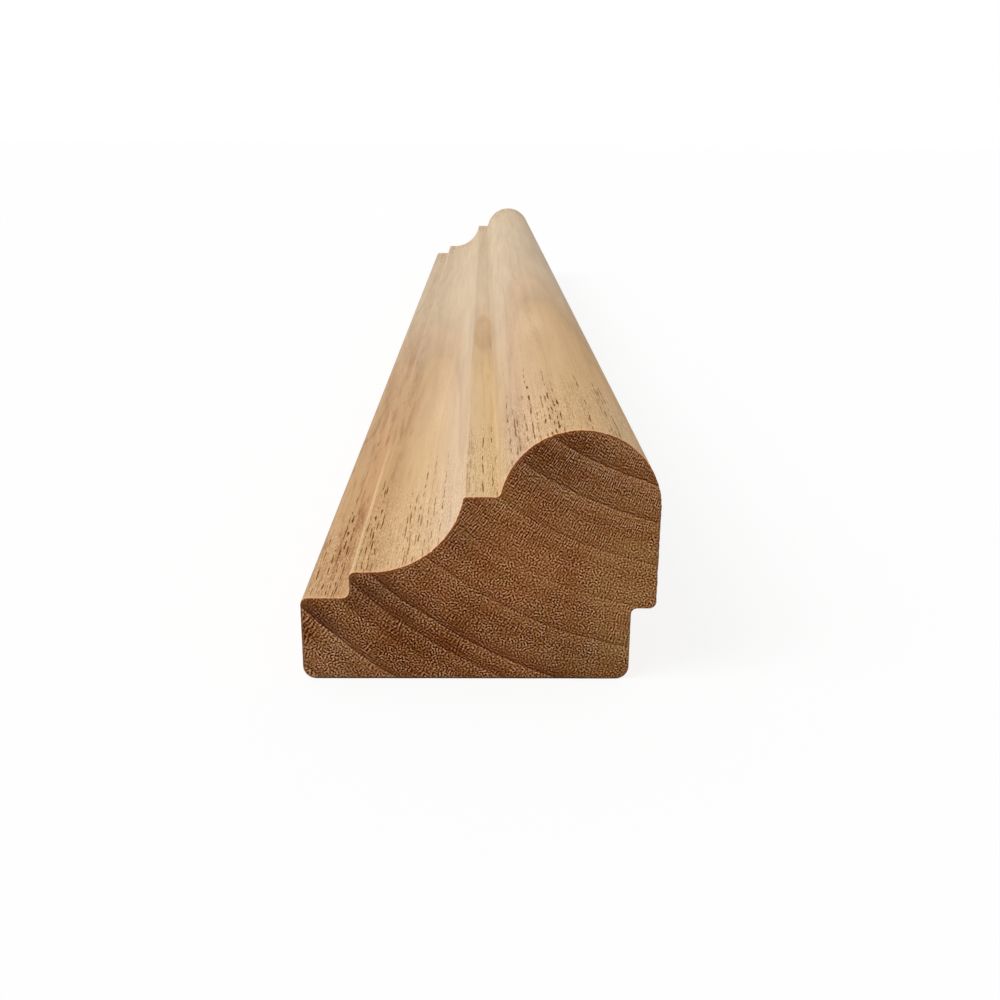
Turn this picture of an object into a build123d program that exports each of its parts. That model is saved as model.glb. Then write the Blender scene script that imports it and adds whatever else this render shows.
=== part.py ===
"""A length of solid teak panel moulding, run from one piece of wood.

The section is drawn in the XZ plane as it is seen from the near end: X runs across the
moulding, from its thin edge to its lip, and Z runs up from its flat back. The length
lies along Y. The origin is at the middle of the length, on the back, half way across.
The section is built up member by member, so that a change to one moves those after it.
All sizes are in millimetres.
"""

import os
from math import sqrt

from build123d import *

# The cut length
length = 450.0

# Thin edge and the low fillet on top of it
thin_edge_height = 11.1
low_fillet_width = 6.2

# Riser from the low fillet and the level ledge that leads into the cove
riser_height = 3.5
ledge_width = 2.6

# Cove, a hollow that leaves the ledge level and climbs to the high fillet
cove_radius = 12.0
cove_height = 9.9
high_fillet_width = 4.5

# Half round along the lip, with its centre a little below the high fillet
round_radius = 10.0
round_sink = 1.5

# Rebate under the lip, which laps the edge of the frame
rebate_width = 3.2
rebate_height = 9.8

# Eased corners that stand out
back_arris_radius = 1.7
lip_arris_radius = 0.9
thin_edge_arris_radius = 0.9
ledge_arris_radius = 0.8
cove_arris_radius = 0.4

# Rounds that the cutters leave in the inner corners
rebate_corner_radius = 0.8
low_quirk_radius = 1.0
high_quirk_radius = 0.7

# How far each curve reaches across the section
cove_run = sqrt(cove_radius**2 - (cove_radius - cove_height) ** 2)
round_run = round_radius + sqrt(round_radius**2 - round_sink**2)
width = low_fillet_width + ledge_width + cove_run + high_fillet_width + round_run

# Places across the section
thin_edge_x = -width / 2
riser_x = thin_edge_x + low_fillet_width
cove_start_x = riser_x + ledge_width
cove_end_x = cove_start_x + cove_run
round_start_x = cove_end_x + high_fillet_width
lip_x = round_start_x + round_run
rebate_wall_x = lip_x - rebate_width

# Heights above the back
ledge_z = thin_edge_height + riser_height
high_fillet_z = ledge_z + cove_height
round_centre_z = high_fillet_z - round_sink

# Corners of the section, going round from the back's thin edge
back_thin = (thin_edge_x, 0)
low_fillet_out = (thin_edge_x, thin_edge_height)
low_fillet_in = (riser_x, thin_edge_height)
ledge_out = (riser_x, ledge_z)
cove_start = (cove_start_x, ledge_z)
cove_end = (cove_end_x, high_fillet_z)
round_start = (round_start_x, high_fillet_z)
round_top = (lip_x - round_radius, round_centre_z + round_radius)
round_end = (lip_x, round_centre_z)
lip_low = (lip_x, rebate_height)
rebate_corner = (rebate_wall_x, rebate_height)
back_rebate = (rebate_wall_x, 0)

# Each corner with the radius that eases it
corner_radii = [
    (back_thin, back_arris_radius),
    (back_rebate, back_arris_radius),
    (low_fillet_out, thin_edge_arris_radius),
    (low_fillet_in, low_quirk_radius),
    (ledge_out, ledge_arris_radius),
    (cove_end, cove_arris_radius),
    (round_start, high_quirk_radius),
    (lip_low, lip_arris_radius),
    (rebate_corner, rebate_corner_radius),
]

with BuildPart() as moulding:
    with BuildSketch(Plane.XZ.offset(-length / 2)) as section:
        with BuildLine():
            Polyline(back_thin, low_fillet_out, low_fillet_in, ledge_out, cove_start)
            TangentArc(cove_start, cove_end, tangent=(1, 0))
            Line(cove_end, round_start)
            ThreePointArc(round_start, round_top, round_end)
            Polyline(round_end, lip_low, rebate_corner, back_rebate, back_thin)
        make_face()
        for corner, radius in corner_radii:
            fillet(section.vertices().sort_by_distance(corner)[0], radius)
    extrude(amount=length)

moulding.part.label = "moulding"

os.makedirs("parts", exist_ok=True)
export_step(moulding.part, "parts/moulding.step")
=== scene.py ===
from collections import namedtuple
from math import atan2, cos, degrees, exp, hypot, pi, radians, sin, sqrt
from types import SimpleNamespace

import bpy
from mathutils import Matrix, Vector, noise


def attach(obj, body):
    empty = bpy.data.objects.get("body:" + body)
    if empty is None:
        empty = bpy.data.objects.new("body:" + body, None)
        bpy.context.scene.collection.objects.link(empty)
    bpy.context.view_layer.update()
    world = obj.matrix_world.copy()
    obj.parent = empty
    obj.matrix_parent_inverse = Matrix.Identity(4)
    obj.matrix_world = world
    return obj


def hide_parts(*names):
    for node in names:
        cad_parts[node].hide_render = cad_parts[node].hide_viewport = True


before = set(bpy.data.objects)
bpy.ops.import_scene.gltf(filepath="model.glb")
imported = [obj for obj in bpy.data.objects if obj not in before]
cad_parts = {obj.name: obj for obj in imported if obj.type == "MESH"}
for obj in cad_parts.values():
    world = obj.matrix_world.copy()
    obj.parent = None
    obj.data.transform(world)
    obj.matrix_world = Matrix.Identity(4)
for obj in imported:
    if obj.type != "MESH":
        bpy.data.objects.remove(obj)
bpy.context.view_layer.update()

MM = 0.001

# Sizes of the moulding in millimetres, as in the solid
LENGTH = 450.0
THIN_EDGE_HEIGHT = 11.1
LOW_FILLET_WIDTH = 6.2
RISER_HEIGHT = 3.5
LEDGE_WIDTH = 2.6
COVE_RADIUS = 12.0
COVE_HEIGHT = 9.9
HIGH_FILLET_WIDTH = 4.5
ROUND_RADIUS = 10.0
ROUND_SINK = 1.5
REBATE_WIDTH = 3.2
REBATE_HEIGHT = 9.8
BACK_ARRIS = 1.7
LIP_ARRIS = 0.9
THIN_EDGE_ARRIS = 0.9
LEDGE_ARRIS = 0.8
COVE_ARRIS = 0.4
REBATE_CORNER = 0.8
LOW_QUIRK = 1.0
HIGH_QUIRK = 0.7

# Fine relief: the step that the cutter left on the lip, and the torn edges of the saw cuts, made of waves
# given as size, seed and weight, and least below the moulded face
STEP_HEIGHT = 21.5
STEP_DEPTH = 0.03
STEP_RISE = 0.04
TEAR_DEPTH = 0.20
TEAR_REACH = 0.35
TEAR_SHARE = 0.06
TEAR_WAVES = [(1.9, 0.0, 0.20), (0.42, 5.0, 0.55), (0.17, 9.0, 0.40)]
END_SEED = 7.0
TEAR_FOOT = 9.0
TEAR_RISE = 3.0
TEAR_LEAST = 0.25
TEAR_GONE = 0.01
RIM_WIDTH = 0.42


# Outline of the section

Arc = namedtuple("Arc", "centre radius start end step run_step worn")


def arc_points(arc):
    """Points along an arc, with angles in degrees from +X towards +Z."""
    count = max(6, round(abs(radians(arc.end - arc.start)) * arc.radius / arc.step))
    angles = [radians(arc.start + (arc.end - arc.start) * i / count) for i in range(count + 1)]
    return [(arc.centre[0] + arc.radius * cos(a), arc.centre[1] + arc.radius * sin(a)) for a in angles]


def section_arcs():
    """The rounds of the section, clockwise as the near end is seen, from the back's thin corner.

    Each has the step between its points, the step along the straight run that follows it,
    and how strongly a painted highlight lightens it, or below nothing how strongly painted shade darkens
    it.
    """
    cove_run = sqrt(COVE_RADIUS**2 - (COVE_RADIUS - COVE_HEIGHT) ** 2)
    round_run = ROUND_RADIUS + sqrt(ROUND_RADIUS**2 - ROUND_SINK**2)
    width = LOW_FILLET_WIDTH + LEDGE_WIDTH + cove_run + HIGH_FILLET_WIDTH + round_run
    thin = -width / 2
    riser = thin + LOW_FILLET_WIDTH
    lip = width / 2
    lip_low = lip - STEP_DEPTH
    wall = lip - REBATE_WIDTH
    ledge = THIN_EDGE_HEIGHT + RISER_HEIGHT
    high = ledge + COVE_HEIGHT
    cove = (riser + LEDGE_WIDTH, ledge + COVE_RADIUS)
    bead = (lip - ROUND_RADIUS, high - ROUND_SINK)

    ease_z = high - COVE_ARRIS
    ease_x = cove[0] + sqrt((COVE_RADIUS + COVE_ARRIS) ** 2 - (ease_z - cove[1]) ** 2)
    cove_end = degrees(atan2(ease_z - cove[1], ease_x - cove[0]))
    quirk_z = high + HIGH_QUIRK
    quirk_x = bead[0] - sqrt((ROUND_RADIUS + HIGH_QUIRK) ** 2 - (quirk_z - bead[1]) ** 2)
    bead_start = degrees(atan2(quirk_z - bead[1], quirk_x - bead[0]))

    thin_arris = (thin + THIN_EDGE_ARRIS, THIN_EDGE_HEIGHT - THIN_EDGE_ARRIS)
    low_quirk = (riser - LOW_QUIRK, THIN_EDGE_HEIGHT + LOW_QUIRK)
    ledge_arris = (riser + LEDGE_ARRIS, ledge - LEDGE_ARRIS)
    lip_arris = (lip_low - LIP_ARRIS, REBATE_HEIGHT + LIP_ARRIS)
    rebate_corner = (wall + REBATE_CORNER, REBATE_HEIGHT - REBATE_CORNER)
    return [
        Arc((thin + BACK_ARRIS, BACK_ARRIS), BACK_ARRIS, 270, 180, 0.3, 0.6, 0),
        Arc(thin_arris, THIN_EDGE_ARRIS, 180, 90, 0.2, 0.3, -1),
        Arc(low_quirk, LOW_QUIRK, 270, 360, 0.2, 0.35, 0),
        Arc(ledge_arris, LEDGE_ARRIS, 180, 90, 0.15, 0.3, 1),
        Arc(cove, COVE_RADIUS, -90, cove_end, 0.25, 0.3, 0),
        Arc((ease_x, ease_z), COVE_ARRIS, cove_end + 180, 90, 0.1, 0.3, 0.3),
        Arc((quirk_x, quirk_z), HIGH_QUIRK, -90, bead_start - 180, 0.1, 0.3, 0),
        Arc(bead, ROUND_RADIUS, bead_start, 0, 0.25, 0.4, 0),
        Arc(lip_arris, LIP_ARRIS, 0, -90, 0.2, 0.5, 1),
        Arc(rebate_corner, REBATE_CORNER, 90, 180, 0.2, 0.8, 0),
        Arc((wall - BACK_ARRIS, BACK_ARRIS), BACK_ARRIS, 0, -90, 0.3, 1.5, 0),
    ]


def section_outline():
    """The whole outline as (x, z, corner shading), with the cutter's step on the lip; corner shading is
    painted highlight above nothing and painted shade below it.
    """
    arcs = section_arcs()
    runs = [arc_points(arc) for arc in arcs]
    lip = max(x for run in runs for x, z in run)
    step = [(lip, STEP_HEIGHT + STEP_RISE / 2), (lip - STEP_DEPTH, STEP_HEIGHT - STEP_RISE / 2)]
    outline = []
    for index, (arc, run) in enumerate(zip(arcs, runs)):
        last = len(run) - 1
        # Each round's painted highlight (above nothing) and painted shade (below nothing), strongest at its
        # middle
        outline += [(x, z, arc.worn * sin(pi * i / last) ** 3) for i, (x, z) in enumerate(run)]
        ahead = runs[(index + 1) % len(runs)][0]
        stops = [run[-1], *step, ahead] if arc.radius == ROUND_RADIUS else [run[-1], ahead]
        for here, there in zip(stops, stops[1:]):
            span = hypot(there[0] - here[0], there[1] - here[1])
            count = max(1, round(span / arc.run_step))
            for i in range(1, count + 1):
                share = i / count
                x = here[0] + (there[0] - here[0]) * share
                z = here[1] + (there[1] - here[1]) * share
                outline.append((x, z, 0))
        outline.pop()
    return outline


def outward_normals(points):
    normals = []
    for i in range(len(points)):
        before = points[i - 1]
        after = points[(i + 1) % len(points)]
        dx = after[0] - before[0]
        dz = after[1] - before[1]
        size = hypot(dx, dz)
        normals.append((-dz / size, dx / size))
    return normals


# The wood as a swept mesh

FIRST_ROW = 0.06
ROW_GROWTH = 1.28
WIDEST_ROW = 3.0
SIDE_MAP = 0.79
CUT_MAP_START = 0.802
CUT_MAP_SCALE = 0.19 / 33.0
CUT_MAP_CENTRES = (0.15, 0.45)
MOULDED_LEAN = 2.5
SHARP_ANGLE = 50.0


def row_places():
    """Places along the length, close together near the two cuts."""
    steps = [0.0]
    gap = FIRST_ROW
    while steps[-1] < LENGTH / 2:
        steps.append(steps[-1] + gap)
        gap = min(gap * ROW_GROWTH, WIDEST_ROW)
    near = [-LENGTH / 2 + d * (LENGTH / 2) / steps[-1] for d in steps]
    return near + [-y for y in reversed(near[:-1])]


def tear(along, height, end):
    """How far the torn fibres have gone from a cut's edge at one place of the outline, from 0 to 1."""
    amount = TEAR_SHARE
    for size, seed, weight in TEAR_WAVES:
        amount += weight * noise.noise(Vector((along / size, END_SEED * end, seed)))
    moulded = min(1.0, max(TEAR_LEAST, (height - TEAR_FOOT) / TEAR_RISE))
    return min(1.0, max(0.0, amount)) * moulded


def build_wood():
    outline = section_outline()
    normals = outward_normals(outline)
    rows = row_places()
    count = len(outline)
    along = [0.0]
    for i in range(count):
        here, there = outline[i], outline[(i + 1) % count]
        along.append(along[-1] + hypot(there[0] - here[0], there[1] - here[1]))
    perimeter = along[-1]

    vertices = []
    warm_rim = []
    grey_rim = []
    # Per point, the corners' painted highlight and painted shade
    worn = []
    for y in rows:
        fade = exp((abs(y) - LENGTH / 2) / TEAR_REACH)
        for i, (x, z, corner_shading) in enumerate(outline):
            torn = tear(along[i], z, int(y > 0)) * TEAR_DEPTH * fade if fade > TEAR_GONE else 0.0
            nx, nz = normals[i]
            vertices.append(((x - nx * torn) * MM, y * MM, (z - nz * torn) * MM))
            moulded = min(1.0, max(0.0, MOULDED_LEAN * nz))
            warm_rim.append(fade * moulded)
            grey_rim.append(fade * (1.0 - moulded))
            worn.append(corner_shading)

    faces = []
    maps = []
    for r in range(len(rows) - 1):
        low = SIDE_MAP * (rows[r] / LENGTH + 0.5)
        high = SIDE_MAP * (rows[r + 1] / LENGTH + 0.5)
        for i in range(count):
            j = (i + 1) % count
            faces.append((r * count + i, r * count + j, (r + 1) * count + j, (r + 1) * count + i))
            u, w = along[i] / perimeter, along[i + 1] / perimeter
            maps.append([(u, low), (w, low), (w, high), (u, high)])

    # Each cut: a narrow rim inside the torn edge, then one flat face
    for end, first in enumerate((0, (len(rows) - 1) * count)):
        inner = len(vertices)
        for (x, z, _), (nx, nz) in zip(outline, normals):
            vertices.append(((x - nx * RIM_WIDTH) * MM, rows[-end] * MM, (z - nz * RIM_WIDTH) * MM))
            warm_rim.append(0.0)
            grey_rim.append(0.0)
            worn.append(0)
        cut_faces = [(first + (i + 1) % count, first + i, inner + i, inner + (i + 1) % count)
                     for i in range(count)]
        cut_faces.append(tuple(inner + i for i in reversed(range(count))))
        for face in cut_faces:
            face = face if end == 0 else face[::-1]
            faces.append(face)
            corners = [vertices[index] for index in face]
            centre = CUT_MAP_CENTRES[end]
            maps.append([(centre + x / MM * CUT_MAP_SCALE, CUT_MAP_START + z / MM * CUT_MAP_SCALE)
                         for x, _, z in corners])

    mesh = bpy.data.meshes.new("moulding_wood")
    mesh.from_pydata(vertices, [], faces)
    layer = mesh.uv_layers.new(name="OFBake")
    layer.data.foreach_set("uv", [value for face in maps for corner in face for value in corner])
    for name, values in (("warm_rim", warm_rim), ("grey_rim", grey_rim), ("worn", worn)):
        attribute = mesh.attributes.new(name, "FLOAT", "POINT")
        attribute.data.foreach_set("value", [float(v) for v in values])
    mesh.polygons.foreach_set("use_smooth", [True] * len(mesh.polygons))
    mesh.set_sharp_from_angle(angle=radians(SHARP_ANGLE))
    mesh.update()
    wood = bpy.data.objects.new("moulding_wood", mesh)
    bpy.context.scene.collection.objects.link(wood)
    return wood


# Node helpers: a socket is linked, anything else is set as the value

class Graph:
    def __init__(self, tree):
        self.tree = tree
        tree.nodes.clear()

    def put(self, socket, value):
        if isinstance(value, bpy.types.NodeSocket):
            self.tree.links.new(value, socket)
        elif value is not None:
            socket.default_value = value

    def node(self, kind, inputs=(), **settings):
        node = self.tree.nodes.new(kind)
        for name, value in settings.items():
            setattr(node, name, value)
        for key, value in dict(inputs).items():
            self.put(node.inputs[key], value)
        return node

    def math(self, operation, a, b=None, c=None, clamp=False):
        node = self.node("ShaderNodeMath", {0: a, 1: b, 2: c}, operation=operation, use_clamp=clamp)
        return node.outputs[0]

    def add(self, *terms):
        total = terms[0]
        for term in terms[1:]:
            total = self.math("ADD", total, term)
        return total

    def times(self, *factors):
        product = factors[0]
        for factor in factors[1:]:
            product = self.math("MULTIPLY", product, factor)
        return product

    def over(self, value, size):
        return self.math("DIVIDE", value, size)

    def rest(self, share):
        """What a share leaves of one."""
        return self.math("SUBTRACT", 1.0, share)

    def attribute(self, name):
        return self.node("ShaderNodeAttribute", attribute_name=name).outputs["Fac"]

    def vector(self, x, y, z=0.0):
        return self.node("ShaderNodeCombineXYZ", {0: x, 1: y, 2: z}).outputs[0]

    def noise(self, vector, detail=2.0):
        inputs = {"Vector": vector, "Scale": 1.0, "Detail": detail}
        return self.node("ShaderNodeTexNoise", inputs).outputs[0]

    def gabor(self, vector, anisotropy):
        """Wavy texture about zero with a spread of one, whose waves run along the first axis."""
        inputs = {0: vector, 1: 1.0, 2: WAVE_FREQUENCY, 3: anisotropy, 4: 0.0}
        value = self.node("ShaderNodeTexGabor", inputs, gabor_type="2D").outputs[0]
        return self.math("MULTIPLY_ADD", value, 12.0, -6.0)

    def span(self, value, low, high, to_low=0.0, to_high=1.0, smooth=True):
        kind = "SMOOTHSTEP" if smooth else "LINEAR"
        inputs = {"Value": value, "From Min": low, "From Max": high, "To Min": to_low, "To Max": to_high}
        return self.node("ShaderNodeMapRange", inputs, interpolation_type=kind, clamp=True).outputs[0]

    def mix(self, share, a, b, blend="MIX"):
        node = self.node("ShaderNodeMix", data_type="RGBA", blend_type=blend, clamp_factor=True)
        self.put(node.inputs[0], share)
        self.put(node.inputs[6], a)
        self.put(node.inputs[7], b)
        return node.outputs[2]

    def tinted(self, tone, tint):
        return self.mix(1.0, tone, tint, blend="MULTIPLY")

    def ramp(self, value, stops):
        """Tones at places from 0 to 1, blended in straight runs."""
        node = self.node("ShaderNodeValToRGB", {0: value})
        elements = node.color_ramp.elements
        elements[0].position, elements[0].color = stops[0][0], colour(stops[0][1])
        elements[1].position, elements[1].color = stops[-1][0], colour(stops[-1][1])
        for place, tone in stops[1:-1]:
            elements.new(place).color = colour(tone)
        return node.outputs[0]

    def profile(self, value, points, straight=True):
        """A curve through points, in the units that the points are in."""
        places = [p[0] for p in points]
        levels = [p[1] for p in points]
        low, high = min(levels), max(levels)
        share = self.span(value, places[0], places[-1], smooth=False)
        node = self.node("ShaderNodeFloatCurve", {1: share})
        line = node.mapping.curves[0]
        scaled = [((p - places[0]) / (places[-1] - places[0]), (v - low) / (high - low)) for p, v in points]
        line.points[0].location = scaled[0]
        line.points[1].location = scaled[-1]
        for place in scaled[1:-1]:
            line.points.new(*place)
        for point in line.points:
            point.handle_type = "VECTOR" if straight else "AUTO_CLAMPED"
        node.mapping.update()
        return self.span(node.outputs[0], 0.0, 1.0, low, high, smooth=False)


def colour(value):
    if isinstance(value, (int, float)):
        return (value, value, value, 1.0)
    return (*value, 1.0)


# Teak, cut from one tree: rings, vessels, rays and fibres in the wood's own coordinates.
# Lengths are in millimetres. A span runs from one place or level to another, and then says what it
# gives at each; where it doesn't, it gives nothing at the first and one at the second.

# How far a face leans along the length on a cut, and how far up on the moulded face
CUT_FACING = (0.55, 0.85)
UP_FACING = (0.1, 0.35)

# The pith beside the section, and each growth ring's outer edge with how strongly it is marked
PITH_X = 35.0
PITH_Z = 68.0
TURN_RADIUS = 62.0
RINGS = [
    (30.0, 0.5), (35.6, 0.5), (41.0, 0.5), (44.4, 0.85), (48.95, 0.55), (54.4, 0.3), (60.4, 0.15),
    (66.0, 0.45), (72.5, 0.85), (75.0, 0.45), (77.6, 0.02), (81.7, 1.0), (87.6, 0.5), (93.5, 0.7),
    (100.0, 0.7),
]
RING_DRIFT = 16.0
DRIFT_SIZE = 60.0
DRIFT_LENGTH = 150.0
RING_WANDER = 0.5
RING_SLIP = (6.0, 20.0, 0.0, 0.45)
LATE_SPAN = (1.7, 0.2)

# Tones of the planed wood near the cut, by distance from the pith, and further along
NEAR_TONES = [
    (41.0, (0.632, 0.402, 0.190)), (44.5, (0.636, 0.421, 0.223)), (49.5, (0.588, 0.399, 0.258)),
    (54.5, (0.696, 0.484, 0.240)), (56.3, (0.700, 0.494, 0.270)), (58.0, (0.724, 0.526, 0.345)),
    (62.0, (0.680, 0.495, 0.328)), (66.0, (0.698, 0.480, 0.270)), (73.0, (0.614, 0.380, 0.182)),
    (77.0, (0.622, 0.380, 0.188)), (82.0, (0.634, 0.398, 0.204)),
]
PALE_TONE = (0.632, 0.492, 0.338)
PINK_TONE = (0.588, 0.424, 0.282)
ARCH_TONE = (0.330, 0.200, 0.125)
BROWN_TONE = (0.390, 0.205, 0.090)
SMUDGE_TONE = (0.330, 0.140, 0.045)
DARK_FLECK = (0.205, 0.075, 0.002)
LIGHT_FLECK = (0.950, 0.760, 0.520)
PORE_TONE = (0.180, 0.057, 0.001)
BURR_TONE = (0.820, 0.470, 0.250)
EYE_TONE = (0.640, 0.441, 0.247)
# Painted highlight on the lit corner rounds
CORNER_HIGHLIGHT_TONE = (0.760, 0.570, 0.400)
PALE_FLAME = (0.790, 0.605, 0.425)
# Painted shade on the thin edge's corner
THIN_CORNER_SHADE_TONE = (0.300, 0.240, 0.190)

# Vessels all through the wood: the cell that holds one, and their share from a ring's start to its end
VESSEL_CELL = 0.37
VESSEL_SWAY = 1.4
VESSEL_WIDTHS = (0.14, 0.20)
VESSEL_DASH = 2.1
VESSEL_GAPS = (0.44, 0.52)
LOT_SPREAD = 90.0
VESSEL_SHARES = [(0.0, 0.9), (0.10, 0.85), (0.20, 0.4), (0.35, 0.12), (0.93, 0.06), (1.0, 0.8)]

# Rows of vessels on the moulded face: the share that lies open and how dark they are, across the moulding
ROW_SHARES = [
    (-22.5, 0.0), (-20.6, 0.1), (-19.4, 0.8), (-18.0, 0.8), (-17.6, 0.0), (-15.6, 0.0), (-15.2, 0.7),
    (-13.6, 0.7), (-13.0, 0.10), (-9.0, 0.22), (-7.0, 0.25), (-5.6, 0.2), (-3.4, 0.2), (-2.9, 0.0),
    (-1.9, 0.0), (-1.7, 0.5), (-1.2, 0.5), (-0.9, 0.15), (0.3, 0.15), (0.5, 0.7), (2.2, 0.7),
    (2.6, 0.1), (3.0, 0.55), (5.0, 0.55), (6.4, 0.5), (6.8, 0.5), (10.4, 0.5), (11.0, 0.12),
    (12.4, 0.12), (13.0, 0.35), (18.2, 0.35), (19.0, 0.0), (22.5, 0.0),
]
ROW_DEPTHS = [
    (-22.5, 1.0), (-13.4, 1.0), (-12.0, 0.75), (-4.0, 0.75), (-2.0, 0.6), (-1.8, 0.35), (-0.8, 0.35),
    (0.3, 0.9), (2.4, 0.9), (3.0, 0.7), (6.0, 0.7), (7.0, 1.0), (12.0, 1.0), (15.0, 0.65), (22.5, 0.6),
]
ROW_GAP = 0.42
ROW_DASH = 4.2
ROW_GAPS = (0.46, 0.51)
ROW_WAVE = 0.8
ROW_RIPPLE = 0.35
ROW_WIDTHS = (0.46, 0.62, 0.10, 0.28)
ROW_ENDS = (12.0, 22.0, 1.0, 0.12)
ROW_ENDS_SPREAD = 30.0

# Share of fine brown lines along the grain, across the moulding
HAIR_SHARES = [
    (-22.5, 0.9), (-16.0, 0.7), (-12.5, 0.5), (-3.0, 0.3), (-1.9, 0.3), (-1.6, 0.9), (6.0, 1.0), (9.0, 0.6),
    (13.0, 1.0), (22.5, 1.0),
]
HAIR_SPAN = (0.57, 0.75, 0.0, 0.6)

# How strongly brown smudges mark the moulded face, across it, and how they fade along it
SMUDGE_SHARES = [
    (-22.5, 1.0), (-16.5, 1.0), (-15.0, 0.8), (-12.5, 0.35), (-10.0, 0.12), (-2.0, 0.12), (1.0, 0.25),
    (6.0, 0.15), (14.0, 0.15), (18.0, 0.3), (22.5, 0.4),
]
SMUDGE_SPAN = (0.47, 0.74, 0.0, 0.6)
SMUDGE_FADE = (-140.0, -40.0, 1.0, 0.3)
BLOT_SPAN = (0.53, 0.70, 0.0, 0.75)
BLOT_PLACES = (0.44, 0.64)
BLOT_FADE = (-165.0, -105.0, 1.0, 0.3)

# Broad shades, streaks, fibres and flecks
BROAD_SPAN = (0.25, 0.75, 0.93, 1.07)
STREAK_SPAN = (0.52, 0.78, 0.0, 0.13)
FIBRE_SPAN = (0.22, 0.78, 0.83, 1.15)
DARK_FLECK_SPAN = (0.55, 0.78, 0.0, 0.6)
LIGHT_FLECK_SPAN = (0.50, 0.28, 0.0, 0.36)

# Distances from a cut where marks and the corners' painted highlight begin to fade and where they have
# gone, and where painted shade dulls the corners
FIBRE_REACH = (10.0, 55.0)
HAIR_REACH = (14.0, 50.0)
FLECK_REACH = (12.0, 50.0)
CORNER_HIGHLIGHT_REACH = (30.0, 65.0)
FAR_CORNER_SHADE_REACH = (45.0, 75.0)

# Where the yellow wood near the cut gives way to paler wood, across the moulding, and how
YELLOW_ENDS = [
    (-22.5, -78.0), (-18.5, -66.0), (-16.2, -74.0), (-14.4, -98.0), (-12.6, -88.0), (-11.0, -81.0),
    (-9.4, -80.0), (-7.6, -88.0), (-5.9, -103.0), (-4.7, -125.0), (-3.6, -160.0), (-2.4, -200.0),
    (-1.6, -125.0), (0.4, -108.0), (2.2, -125.0), (3.2, -210.0), (5.2, -165.0), (6.2, -140.0),
    (7.4, -124.0), (8.8, -112.0), (10.7, -107.0), (13.0, -109.0), (15.0, -116.0), (17.2, -138.0),
    (20.0, -155.0), (22.5, -165.0),
]
YELLOW_SWAY = 26.0
PALE_ALONG = (-215.0, -60.0, 0.0, 0.56)
PALE_AT_END = (-10.0, 11.0, 0.0, 0.21)
PALE_BEYOND = (10.0, 90.0, 0.0, 0.21)
PINK_FADE = (0.0, 110.0, 0.9, 0.0)
ARCH_RISE = (-8.0, 3.0)
ARCH_FALL = (4.0, 30.0, 1.0, 0.0)
ARCH_SHARE = 0.14
PLANED_LATE_SHARE = 0.14

# Soft brown flames, as x, y, half width, half length and strength
FLAMES = [
    (-20.9, -95.0, 1.2, 18.0, 0.36), (-20.0, -120.0, 0.9, 20.0, 0.28), (-18.9, -158.0, 0.6, 9.0, 0.24),
    (-14.1, -118.0, 0.9, 20.0, 0.22), (-13.3, -148.0, 0.7, 22.0, 0.18), (15.0, 2.0, 2.6, 32.0, 0.14),
    (0.4, 140.0, 1.8, 70.0, 0.14), (6.8, -82.0, 1.5, 22.0, 0.12), (10.0, -4.0, 3.0, 30.0, 0.08),
    (2.6, -106.0, 0.7, 14.0, 0.14), (-17.9, -15.0, 1.5, 40.0, 0.10), (15.5, -150.0, 2.5, 30.0, 0.09),
    (-14.8, -222.0, 1.6, 9.0, 0.18), (-19.5, -222.0, 3.0, 14.0, 0.16), (11.0, -214.0, 4.0, 16.0, 0.08),
]

# Paler wood, in the same terms
PALE_FLAMES = [
    (9.6, -138.0, 2.4, 15.0, 0.20), (2.9, -190.0, 0.5, 34.0, 0.20), (0.6, -45.0, 2.0, 34.0, 0.25),
    (-2.3, -195.0, 0.7, 45.0, 0.06), (18.2, -214.0, 2.2, 18.0, 0.28),
]

# A small eye in the grain of the high fillet: place, half width and half length, and the brown ring in it
EYE_SPOT = (0.5, -100.0, 2.1, 23.0)
EYE_LIFT = -4.4
EYE_SPAN = (0.2, 0.7, 0.0, 0.55)
EYE_RING = [(0.0, 0.0), (0.22, 0.0), (0.42, 1.0), (0.62, 0.9), (0.82, 0.25), (1.0, 0.1)]
EYE_RING_SHARE = 0.24

# Painted highlight and painted shade on the standing corners of the moulding, and the burr along the cuts
CORNER_HIGHLIGHT_SHARE = 0.5
# Painted shade that dulls the lit corner rounds further along
FAR_CORNER_SHADE = 0.86
THIN_CORNER_SHADE_SHARE = 0.5
BURR_SHARE = 0.8
BURR_SPREAD = 0.6

# Tones of the saw cut from its darkest specks to its lightest
CUT_TONES = [
    (0.0, (0.006, 0.0005, 0.0002)), (0.19, (0.048, 0.0015, 0.0004)), (0.28, (0.078, 0.0125, 0.0007)),
    (0.39, (0.127, 0.036, 0.002)), (0.5, (0.189, 0.071, 0.019)), (0.625, (0.274, 0.124, 0.050)),
    (0.756, (0.383, 0.196, 0.096)), (1.0, (0.540, 0.305, 0.170)),
]

# Its mean level, and what the parts of a ring, patches and the torn texture add to that
CUT_LEVEL = 0.531
LATE_RISE = -0.06
EDGE_SPAN = (0.24, 0.08)
EDGE_RISE = -0.22
START_SPAN = (0.20, 0.42, 1.0, 0.0)
START_DOTS = (0.3, 0.6, 0.4, 1.0)
START_RISE = 0.12
EARLY_SPAN = (0.7, 1.6, 1.0, 0.0)
EARLY_RISE = 0.05
DIP_SPAN = (1.0, 1.6)
DIP_END = (2.4, 3.4, 1.0, 0.0)
DIP_RISE = -0.03
PATCH_RISE = 0.16
CONTRAST = 0.231
LATE_CONTRAST = -0.05
CALM_CONTRAST = -0.05
CALM_SPOTS = [(19.0, 14.0, 6.0, 9.0), (16.0, 3.0, 5.0, 4.0)]

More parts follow.
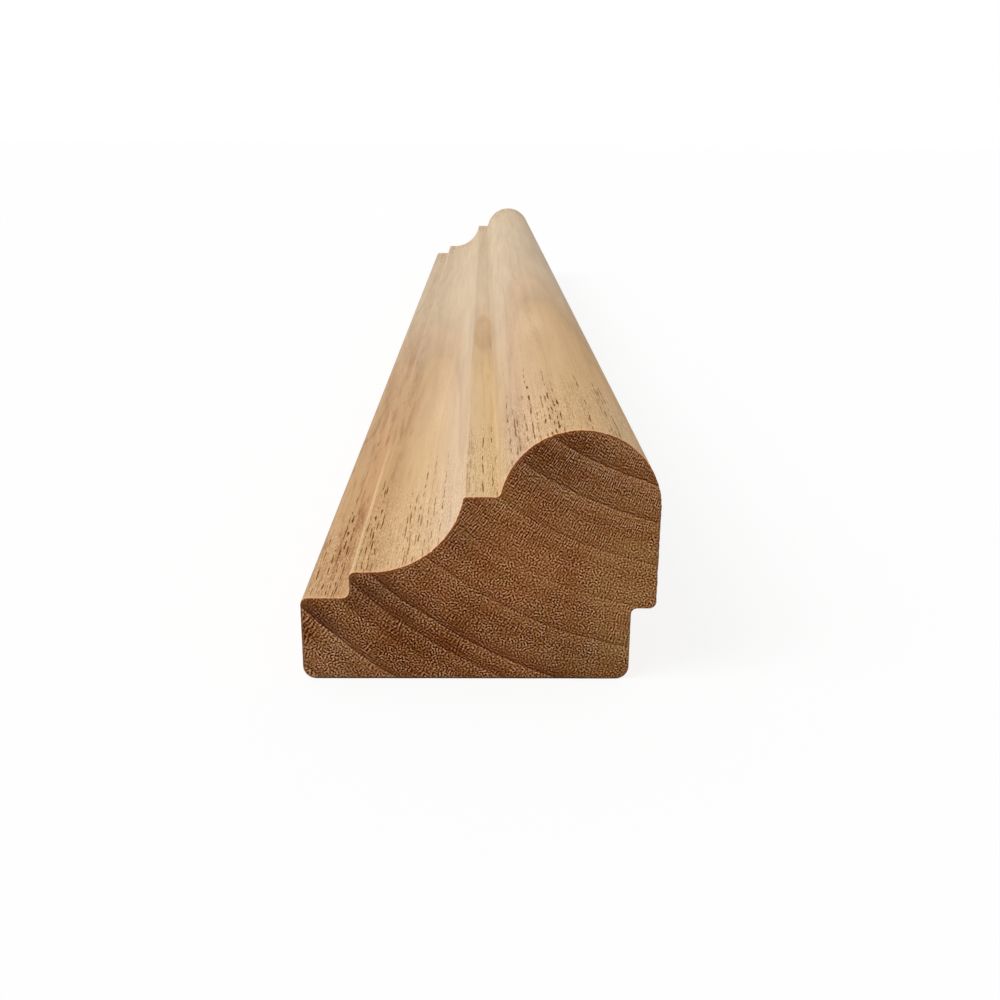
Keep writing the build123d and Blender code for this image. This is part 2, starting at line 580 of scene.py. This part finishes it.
# Paler and darker patches of the saw cut, as x, z, half width, half height and change of level
CUT_PATCHES = [
    (19.0, 14.0, 6.0, 9.0, 0.055), (-20.0, 3.5, 4.0, 4.0, 0.03), (-5.0, 6.0, 10.0, 5.0, -0.085),
    (9.0, 30.5, 6.0, 3.6, -0.11), (18.5, 29.5, 3.5, 2.6, 0.02), (5.0, 14.0, 8.0, 6.0, 0.03),
    (13.0, 0.8, 5.0, 1.5, -0.06), (-21.8, 6.6, 1.5, 2.0, -0.08),
]

# Tinted patches, as x, z, half width, half height and tint
TINT_PATCHES = [
    (-18.5, 3.0, 5.0, 4.0, (1.05, 1.15, 1.26)), (12.0, 29.0, 9.0, 5.0, (1.00, 1.11, 1.26)),
    (19.0, 14.0, 5.0, 9.0, (1.06, 1.15, 1.07)), (4.0, 16.0, 8.0, 6.0, (1.07, 1.02, 0.95)),
    (15.0, 3.0, 6.0, 4.0, (0.99, 1.16, 1.27)), (3.5, 25.0, 4.0, 3.0, (1.10, 1.10, 1.06)),
]

# Dark purplish patches, as x, z, half width, half height and share, and a ring's late wood at the thin edge
PURPLE_TINT = (0.47, 0.44, 0.58)
PURPLE_PATCHES = [
    (-13.4, 12.2, 3.4, 2.2, 0.62), (-9.6, 9.2, 2.6, 1.7, 0.36), (-2.0, 19.2, 2.2, 2.8, 0.34),
    (6.5, 28.2, 3.2, 2.8, 0.18),
]
BAND_SPOT = (-19.6, 8.6, 4.0, 3.6)
BAND_SPAN = (2.3, 1.2)
BAND_SHARE = 0.7

# Texture of the saw cut: sizes and weights of its waves, where they weave, and how they swell
WAVE_FREQUENCY = 1.6
SPECK_CELL = 0.60
CRUMB_CELL = 0.30
RAY_CELL = 0.60
RAY_PULL = 0.9
RAY_WEIGHT = 0.8
BAND_WEIGHT = 0.5
WAVE_WEIGHT = 0.8
CRUMB_WEIGHT = 0.6
LINED_SHARE = 0.5
WEAVE_RISE = (14.0, 24.0, 0.0, 0.25)
WEAVE_SPAN = (0.46, 0.70, 0.1, 0.85)
SWELL_SPAN = (0.3, 0.7, 0.75, 1.2)

# Other tones of the saw cut, with their shares
LATE_TONE = (0.128, 0.051, 0.026)
LATE_SHARE = 0.25
CUT_PORE_SHARE = 0.5
WARM_RIM = (0.235, 0.076, 0.0170)
WARM_SHARE = 0.7
GREY_RIM = (0.181, 0.093, 0.048)
GREY_SHARE = 0.6
# Painted contact shadow along the foot of the cut, and the heights over which it fades
CONTACT_SHADOW_TONE = (0.030, 0.018, 0.010)
CONTACT_SHADOW_SPAN = (0.08, 0.24, 0.92, 0.0)
REDDER = (1.02, 0.97, 1.02)
GREENER = (0.985, 1.03, 0.985)
HUE_SPAN = (0.32, 0.68)

# Roughness of the planed faces, what a pore and a saw cut add to it, heights of the fine relief, and gloss
PLANED_ROUGHNESS = (0.3, 0.7, 0.56, 0.68)
PORE_ROUGHNESS = 0.2
CUT_ROUGHNESS = 0.2
FIBRE_HEIGHT = 0.014
ROW_HEIGHT = -0.015
TEXTURE_HEIGHT = 0.009
PORE_HEIGHT = -0.06
BUMP_STRENGTH = 0.8
SPECULAR_LEVEL = 0.03


def tree_places(g):
    """Where a point of the surface lay in the tree, and whether it is on a saw cut or faces up."""
    spot = g.node("ShaderNodeTexCoord")
    parts = g.node("ShaderNodeSeparateXYZ", {0: spot.outputs["Object"]})
    x, y, z = [g.times(parts.outputs[i], 1.0 / MM) for i in range(3)]
    dx = g.math("SUBTRACT", x, PITH_X)
    dz = g.math("SUBTRACT", z, PITH_Z)
    radius = g.math("SQRT", g.add(g.times(dx, dx), g.times(dz, dz)))
    turn = g.times(g.math("ARCTAN2", dz, dx), TURN_RADIUS)
    facing = g.node("ShaderNodeSeparateXYZ", {0: spot.outputs["Normal"]}).outputs
    cut = g.span(g.math("ABSOLUTE", facing[1]), *CUT_FACING)
    upper = g.span(facing[2], *UP_FACING)
    from_cut = g.math("SUBTRACT", LENGTH / 2, g.math("ABSOLUTE", y))
    return SimpleNamespace(x=x, y=y, z=z, radius=radius, turn=turn, cut=cut, upper=upper, from_cut=from_cut)


def grain_noise(g, p, across, along, detail=2.0, seed=0.0):
    """Noise drawn out along the grain, with the sizes of its features."""
    spot = g.vector(g.over(p.radius, across), g.over(p.turn, across),
                    g.math("MULTIPLY_ADD", p.y, 1.0 / along, seed))
    return g.noise(spot, detail)


def cut_noise(g, p, size, seed, detail=2.0):
    """Noise over the saw cuts, with the size of its features."""
    return g.noise(g.vector(g.over(p.x, size), g.over(p.z, size), seed), detail)


def soft_bump(g, first, second, spot):
    """A soft bump over two coordinates, one at its middle: a spot is its middle and its half sizes."""
    first_middle, second_middle, first_half, second_half = spot
    across = g.over(g.math("SUBTRACT", first, first_middle), first_half)
    along = g.over(g.math("SUBTRACT", second, second_middle), second_half)
    return g.math("EXPONENT", g.times(g.add(g.times(across, across), g.times(along, along)), -1.0))


def near_cuts(g, p, reach):
    """One near a cut, up to the first distance, and nothing past the second."""
    return g.span(p.from_cut, *reach, 1.0, 0.0)


def ring_places(g, p):
    """The growth rings: how far a point is from its ring's edges, how strong these are, and late wood."""
    def drift_at(length_place):
        return g.noise(g.vector(g.over(p.x, DRIFT_SIZE), length_place, g.over(p.z, DRIFT_SIZE)), 1.0)

    drift = g.math("SUBTRACT", drift_at(g.over(p.y, DRIFT_LENGTH)), drift_at(-LENGTH / 2 / DRIFT_LENGTH))
    wander_spot = g.vector(g.over(p.turn, 5.0), g.over(p.y, 70.0), g.over(p.radius, 9.0))
    wander = g.math("SUBTRACT", g.noise(wander_spot, 3.0), 0.5)
    eye = soft_bump(g, p.x, p.y, EYE_SPOT)
    radius = g.add(p.radius, g.span(p.x, *RING_SLIP), g.times(drift, RING_DRIFT),
                   g.times(wander, RING_WANDER), g.times(eye, EYE_LIFT))
    count = g.profile(radius, [(ring[0], float(i)) for i, ring in enumerate(RINGS)])
    strength = g.profile(radius, RINGS)
    phase = g.math("FRACT", count)
    edges = [ring[0] for ring in RINGS]
    width = g.profile(radius, [((a + b) / 2, b - a) for a, b in zip(edges, edges[1:])])
    inner = g.times(phase, width)
    outer = g.times(g.rest(phase), width)
    late = g.times(g.span(outer, *LATE_SPAN), strength)
    return SimpleNamespace(radius=radius, phase=phase, inner=inner, outer=outer, strength=strength,
                           late=late, eye=eye)


def vessels(g, p, rings):
    """Thin tubes along the grain, laid open as rows of short dashes, closest where a ring starts."""
    sway = g.times(g.math("SUBTRACT", grain_noise(g, p, 2.0, 40.0, 1.0, 3.7), 0.5), VESSEL_SWAY)
    spot = g.vector(g.over(g.add(p.radius, sway), VESSEL_CELL), g.over(p.turn, VESSEL_CELL))
    cells = g.node("ShaderNodeTexVoronoi", {"Vector": spot, "Scale": 1.0}, voronoi_dimensions="2D")
    lots = g.node("ShaderNodeSeparateColor", {0: cells.outputs["Color"]}).outputs
    kept = g.math("LESS_THAN", lots[0], g.ramp(rings.phase, VESSEL_SHARES))
    reach = g.math("MULTIPLY_ADD", lots[1], *VESSEL_WIDTHS)
    tube = g.span(g.math("SUBTRACT", reach, cells.outputs["Distance"]), 0.0, 0.08)
    bead = g.noise(g.vector(g.times(lots[2], LOT_SPREAD), g.over(p.y, VESSEL_DASH)), 1.0)
    return g.times(tube, kept, g.span(bead, *VESSEL_GAPS))


def vessel_rows(g, p):
    """Rows of vessels on the moulded face, laid open as dark dashes that fade away from the cuts."""
    wave = g.noise(g.vector(g.over(p.x, 3.0), g.over(p.y, 22.0)), 1.0)
    ripple = g.noise(g.vector(g.over(p.x, 0.6), g.over(p.y, 3.5), 3.0), 1.0)
    place = g.add(p.x, g.times(g.math("SUBTRACT", wave, 0.5), ROW_WAVE),
                  g.times(g.math("SUBTRACT", ripple, 0.5), ROW_RIPPLE))
    inputs = {"W": g.over(place, ROW_GAP), "Scale": 1.0}
    cells = g.node("ShaderNodeTexVoronoi", inputs, voronoi_dimensions="1D")
    lots = g.node("ShaderNodeSeparateColor", {0: cells.outputs["Color"]}).outputs
    kept = g.math("LESS_THAN", lots[0], g.profile(p.x, ROW_SHARES))
    bead = g.noise(g.vector(g.times(lots[2], LOT_SPREAD), g.over(p.y, ROW_DASH)), 2.0)
    half_width = g.span(bead, *ROW_WIDTHS)
    line = g.span(g.math("SUBTRACT", half_width, cells.outputs["Distance"]), 0.0, 0.12)
    reach = g.span(g.math("MULTIPLY_ADD", lots[1], -ROW_ENDS_SPREAD, p.from_cut), *ROW_ENDS)
    return g.times(line, kept, g.span(bead, *ROW_GAPS), reach, g.profile(p.x, ROW_DEPTHS), p.upper)


def yellow_and_pale(g, p, rings):
    """Yellow wood near the cut, a dark arch at its end, and past it pinkish brown that turns pale."""
    first, last = RINGS[0][0], RINGS[-1][0]
    share = g.span(rings.radius, first, last, smooth=False)
    tone = g.ramp(share, [((r - first) / (last - first), tint) for r, tint in NEAR_TONES])
    sway = g.times(g.math("SUBTRACT", grain_noise(g, p, 3.5, 40.0, 2.0, 1.3), 0.5), YELLOW_SWAY)
    depth = g.add(g.math("SUBTRACT", p.y, g.profile(p.x, YELLOW_ENDS, straight=False)), sway)
    pale = g.mix(g.span(depth, *PINK_FADE), colour(PALE_TONE), colour(PINK_TONE))
    paling = g.add(g.span(p.y, *PALE_ALONG), g.span(depth, *PALE_AT_END), g.span(depth, *PALE_BEYOND))
    tone = g.mix(paling, tone, pale)
    arch = g.times(g.span(depth, *ARCH_RISE), g.span(depth, *ARCH_FALL))
    return g.mix(g.times(arch, ARCH_SHARE), tone, colour(ARCH_TONE))


def with_flames(g, p, rings, tone):
    """Late wood, flames and the eye."""
    tone = g.mix(g.times(rings.late, PLANED_LATE_SHARE), tone, colour(BROWN_TONE))
    for flames, flame_tone in ((FLAMES, BROWN_TONE), (PALE_FLAMES, PALE_FLAME)):
        for *spot, strength in flames:
            tone = g.mix(g.times(soft_bump(g, p.x, p.y, spot), strength), tone, colour(flame_tone))
    tone = g.mix(g.span(rings.eye, *EYE_SPAN), tone, colour(EYE_TONE))
    return g.mix(g.times(g.ramp(rings.eye, EYE_RING), EYE_RING_SHARE), tone, colour(BROWN_TONE))


def with_marks(g, p, fibre, tone):
    """Smudges, small blots in places, streaks, fibres, hair lines and short flecks."""
    smudge = grain_noise(g, p, 0.7, 16.0, 3.0, 8.2)
    spread = g.times(g.profile(p.x, SMUDGE_SHARES), g.span(p.y, *SMUDGE_FADE), p.upper)
    tone = g.mix(g.times(g.span(smudge, *SMUDGE_SPAN), spread), tone, colour(SMUDGE_TONE))
    blot = grain_noise(g, p, 0.4, 6.5, 2.0, 6.1)
    there = grain_noise(g, p, 2.2, 22.0, 1.0, 7.3)
    spread = g.times(spread, g.span(there, *BLOT_PLACES), g.span(p.y, *BLOT_FADE))
    tone = g.mix(g.times(g.span(blot, *BLOT_SPAN), spread), tone, colour(SMUDGE_TONE))
    broad = grain_noise(g, p, 2.2, 38.0, 2.0, 2.4)
    tone = g.tinted(tone, g.span(broad, *BROAD_SPAN, smooth=False))
    streak = grain_noise(g, p, 1.2, 90.0)
    tone = g.mix(g.span(streak, *STREAK_SPAN), tone, colour(BROWN_TONE))
    crisp = g.add(g.times(near_cuts(g, p, FIBRE_REACH), 0.8), 0.2)
    tone = g.mix(crisp, tone, g.tinted(tone, g.span(fibre, *FIBRE_SPAN, smooth=False)))
    hair = grain_noise(g, p, 0.13, 7.0, 1.0, 11.0)
    lined = g.times(g.profile(p.x, HAIR_SHARES), near_cuts(g, p, HAIR_REACH), p.upper)
    tone = g.mix(g.times(g.span(hair, *HAIR_SPAN), lined), tone, colour(DARK_FLECK))
    fleck = grain_noise(g, p, 0.16, 0.8, 1.0, 5.5)
    flecked = near_cuts(g, p, FLECK_REACH)
    tone = g.mix(g.times(g.span(fleck, *DARK_FLECK_SPAN), flecked), tone, colour(DARK_FLECK))
    return g.mix(g.times(g.span(fleck, *LIGHT_FLECK_SPAN), flecked), tone, colour(LIGHT_FLECK))


def planed_colour(g, p, rings, pore, fibre):
    tone = with_flames(g, p, rings, yellow_and_pale(g, p, rings))
    tone = with_marks(g, p, fibre, tone)

    # Standing corners: a painted highlight near the cuts, painted shade that dulls the same corners further
    # along, and painted shade on the thin edge's corner
    worn = g.attribute("worn")
    light = g.math("MAXIMUM", worn, 0.0)
    thin_corner_shade = g.math("MAXIMUM", g.times(worn, -1.0), 0.0)
    tone = g.mix(g.times(light, near_cuts(g, p, CORNER_HIGHLIGHT_REACH), CORNER_HIGHLIGHT_SHARE), tone, colour(CORNER_HIGHLIGHT_TONE))
    far_corner_shade = g.tinted(tone, colour(FAR_CORNER_SHADE))
    tone = g.mix(g.times(light, g.rest(near_cuts(g, p, FAR_CORNER_SHADE_REACH))), tone, far_corner_shade)
    tone = g.mix(g.times(thin_corner_shade, THIN_CORNER_SHADE_SHARE), tone, colour(THIN_CORNER_SHADE_TONE))

    # Open vessels, and the burr of the saw
    tone = g.mix(pore, tone, colour(PORE_TONE))
    burr = g.math("POWER", g.attribute("warm_rim"), BURR_SPREAD)
    return g.mix(g.times(burr, BURR_SHARE), tone, colour(BURR_TONE))


def cut_texture(g, p, rings):
    """The sawn end grain: torn specks, a weave of rays and rings in places, and fine lines in late wood."""
    speck = g.gabor(g.vector(g.over(p.x, SPECK_CELL), g.over(p.z, SPECK_CELL)), 0.0)
    crumb = g.math("MULTIPLY_ADD", cut_noise(g, p, CRUMB_CELL, 1.0, 1.0), 6.0, -3.0)
    turn = g.over(p.turn, RAY_CELL)
    radius = g.over(p.radius, RAY_CELL)
    ray = g.gabor(g.vector(turn, radius), RAY_PULL)
    band = g.gabor(g.vector(radius, turn), RAY_PULL)
    weave = g.add(g.times(ray, RAY_WEIGHT), g.times(band, BAND_WEIGHT))
    raised = g.span(p.z, *WEAVE_RISE)
    share = g.span(g.add(cut_noise(g, p, 5.0, 4.0), raised), *WEAVE_SPAN)
    texture = g.add(g.times(speck, g.rest(share)), g.times(weave, share))
    texture = g.add(g.times(texture, WAVE_WEIGHT), g.times(crumb, CRUMB_WEIGHT))
    lined = g.times(rings.late, LINED_SHARE)
    texture = g.add(g.times(texture, g.rest(lined)), g.times(band, lined))
    swell = cut_noise(g, p, 2.2, 9.0, 1.0)
    return g.times(texture, g.span(swell, *SWELL_SPAN))


def cut_level(g, p, rings, texture):
    """How light the saw cut is, as a place in its tones."""
    lines = g.math("MULTIPLY_ADD", rings.strength, 0.8, 0.2)
    dots = g.noise(g.vector(g.over(p.turn, 0.3), g.over(p.radius, 3.0), 2.0), 0.0)
    start = g.times(g.span(rings.inner, *START_SPAN), lines, g.span(dots, *START_DOTS))
    early = g.times(g.span(rings.inner, *EARLY_SPAN), lines)
    dip = g.times(g.span(rings.inner, *DIP_SPAN), g.span(rings.inner, *DIP_END))
    edge = g.times(g.span(rings.outer, *EDGE_SPAN), lines)
    patch = g.noise(g.vector(g.over(p.x, 4.0), g.over(p.z, 4.0), g.over(p.y, 90.0)))
    calm = g.add(*[soft_bump(g, p.x, p.z, spot) for spot in CALM_SPOTS])
    contrast = g.add(CONTRAST, g.times(rings.late, LATE_CONTRAST), g.times(calm, CALM_CONTRAST))
    level = g.add(CUT_LEVEL, g.times(rings.late, LATE_RISE), g.times(edge, EDGE_RISE),
                  g.times(start, START_RISE), g.times(early, EARLY_RISE), g.times(dip, DIP_RISE),
                  g.times(g.math("SUBTRACT", patch, 0.5), PATCH_RISE), g.times(texture, contrast))
    for *spot, rise in CUT_PATCHES:
        level = g.add(level, g.times(soft_bump(g, p.x, p.z, spot), rise))
    return level


def cut_colour(g, p, rings, pore, texture):
    tone = g.ramp(cut_level(g, p, rings, texture), CUT_TONES)
    for *spot, tint in TINT_PATCHES:
        tone = g.mix(soft_bump(g, p.x, p.z, spot), tone, g.tinted(tone, colour(tint)))
    tone = g.mix(g.times(rings.late, LATE_SHARE), tone, colour(LATE_TONE))
    purple = g.times(g.span(rings.outer, *BAND_SPAN), soft_bump(g, p.x, p.z, BAND_SPOT), BAND_SHARE)
    for *spot, share in PURPLE_PATCHES:
        purple = g.add(purple, g.times(soft_bump(g, p.x, p.z, spot), share))
    tone = g.mix(purple, tone, g.tinted(tone, colour(PURPLE_TINT)))
    hue = g.span(cut_noise(g, p, 3.2, 6.0), *HUE_SPAN, smooth=False)
    tone = g.tinted(tone, g.mix(hue, colour(REDDER), colour(GREENER)))
    tone = g.mix(g.times(pore, CUT_PORE_SHARE), tone, colour(PORE_TONE))

    # Edges of the cut: warm along the moulded face, grey along the rest, and a painted contact shadow where
    # it meets the floor
    tone = g.mix(g.times(g.attribute("warm_rim"), WARM_SHARE), tone, colour(WARM_RIM))
    tone = g.mix(g.times(g.attribute("grey_rim"), GREY_SHARE), tone, colour(GREY_RIM))
    return g.mix(g.span(p.z, *CONTACT_SHADOW_SPAN), tone, colour(CONTACT_SHADOW_TONE))


def teak():
    material = bpy.data.materials.new("teak")
    material.use_nodes = True
    g = Graph(material.node_tree)
    p = tree_places(g)
    rings = ring_places(g, p)
    planed = g.rest(p.cut)
    tubes = vessels(g, p, rings)
    open_rows = g.math("MAXIMUM", vessel_rows(g, p), g.times(tubes, g.rest(p.upper), 0.7))
    pore = g.add(g.times(open_rows, planed), g.times(tubes, p.cut))
    fibre = grain_noise(g, p, 0.2, 13.0)
    texture = cut_texture(g, p, rings)
    tone = g.mix(p.cut, planed_colour(g, p, rings, pore, fibre), cut_colour(g, p, rings, pore, texture))

    planed_rough = g.add(g.span(fibre, *PLANED_ROUGHNESS), g.times(pore, PORE_ROUGHNESS))
    roughness = g.math("ADD", planed_rough, g.times(p.cut, CUT_ROUGHNESS), clamp=True)

    planed_height = g.add(g.times(fibre, FIBRE_HEIGHT), g.times(pore, ROW_HEIGHT))
    cut_height = g.add(g.times(texture, TEXTURE_HEIGHT), g.times(pore, PORE_HEIGHT))
    height = g.add(g.times(planed_height, planed), g.times(cut_height, p.cut))
    bump = g.node("ShaderNodeBump", {"Height": height, "Strength": BUMP_STRENGTH, "Distance": MM})

    inputs = {"Base Color": tone, "Roughness": roughness, "Specular IOR Level": SPECULAR_LEVEL,
              "Normal": bump.outputs[0]}
    shader = g.node("ShaderNodeBsdfPrincipled", inputs)
    output = g.node("ShaderNodeOutputMaterial")
    g.put(output.inputs[0], shader.outputs[0])
    return material


# Stage, light and camera

FLOOR_SIZE = 24.0
FLOOR_TONE = 0.98
FLOOR_GLOW = 0.84
WORLD_LIGHT = 0.58
SUN_STRENGTH = 1.65
SUN_ANGLE = 40.0
SUN_FROM = (-0.62, -0.26, 0.74)

# The camera in millimetres, and its axes in the moulding's frame
CAMERA_PLACE = (0.419, -359.106, 66.588)
CAMERA_RIGHT = (0.99987649, -0.01342234, 0.00817596)
CAMERA_DOWN = (0.00374428, -0.30179904, -0.95336421)
CAMERA_AHEAD = (0.01526388, 0.95327707, -0.30171151)
FOCAL_SHARE = 1.147


def seen_directly(g):
    """One for rays from the camera and in gloss or glass, nothing for light on the object."""
    path = g.node("ShaderNodeLightPath")
    seen = g.math("MAXIMUM", path.outputs["Is Camera Ray"], path.outputs["Is Glossy Ray"])
    return g.math("MAXIMUM", seen, path.outputs["Is Transmission Ray"])


def build_stage():
    mesh = bpy.data.meshes.new("floor")
    half = FLOOR_SIZE / 2
    corners = [(-half, -half, 0), (half, -half, 0), (half, half, 0), (-half, half, 0)]
    mesh.from_pydata(corners, [], [(0, 1, 2, 3)])
    floor = bpy.data.objects.new("floor", mesh)
    bpy.context.scene.collection.objects.link(floor)
    material = bpy.data.materials.new("floor_paper")
    material.use_nodes = True
    g = Graph(material.node_tree)
    paper = g.node("ShaderNodeBsdfDiffuse", {"Color": colour(FLOOR_TONE)})
    glow = g.node("ShaderNodeEmission", {"Color": colour(1.0), "Strength": 1.0})
    share = g.times(seen_directly(g), FLOOR_GLOW)
    both = g.node("ShaderNodeMixShader", {0: share, 1: paper.outputs[0], 2: glow.outputs[0]})
    output = g.node("ShaderNodeOutputMaterial")
    g.put(output.inputs[0], both.outputs[0])
    mesh.materials.append(material)


def build_light():
    world = bpy.data.worlds.new("studio")
    world.use_nodes = True
    bpy.context.scene.world = world
    g = Graph(world.node_tree)
    strength = g.span(seen_directly(g), 0.0, 1.0, WORLD_LIGHT, 1.0, smooth=False)
    back = g.node("ShaderNodeBackground", {"Color": colour(1.0), "Strength": strength})
    output = g.node("ShaderNodeOutputWorld")
    g.put(output.inputs[0], back.outputs[0])

    lamp = bpy.data.lights.new("key", "SUN")
    lamp.energy = SUN_STRENGTH
    lamp.angle = radians(SUN_ANGLE)
    key = bpy.data.objects.new("key", lamp)
    key.rotation_euler = Vector(SUN_FROM).to_track_quat("Z", "Y").to_euler()
    bpy.context.scene.collection.objects.link(key)


def build_camera():
    data = bpy.data.cameras.new("camera")
    data.sensor_width = 36.0
    data.lens = data.sensor_width * FOCAL_SHARE
    data.clip_start = 0.01
    data.clip_end = 50.0
    camera = bpy.data.objects.new("camera", data)
    axes = (Vector(CAMERA_RIGHT), -Vector(CAMERA_DOWN), -Vector(CAMERA_AHEAD))
    turn = Matrix(axes).transposed().to_4x4()
    camera.matrix_world = Matrix.Translation(Vector(CAMERA_PLACE) * MM) @ turn
    bpy.context.scene.collection.objects.link(camera)
    bpy.context.scene.camera = camera


wood = build_wood()
wood.data.materials.append(teak())
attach(wood, "root")
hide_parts("moulding")
build_stage()
build_light()
build_camera()
bpy.context.scene.view_settings.view_transform = "Standard"
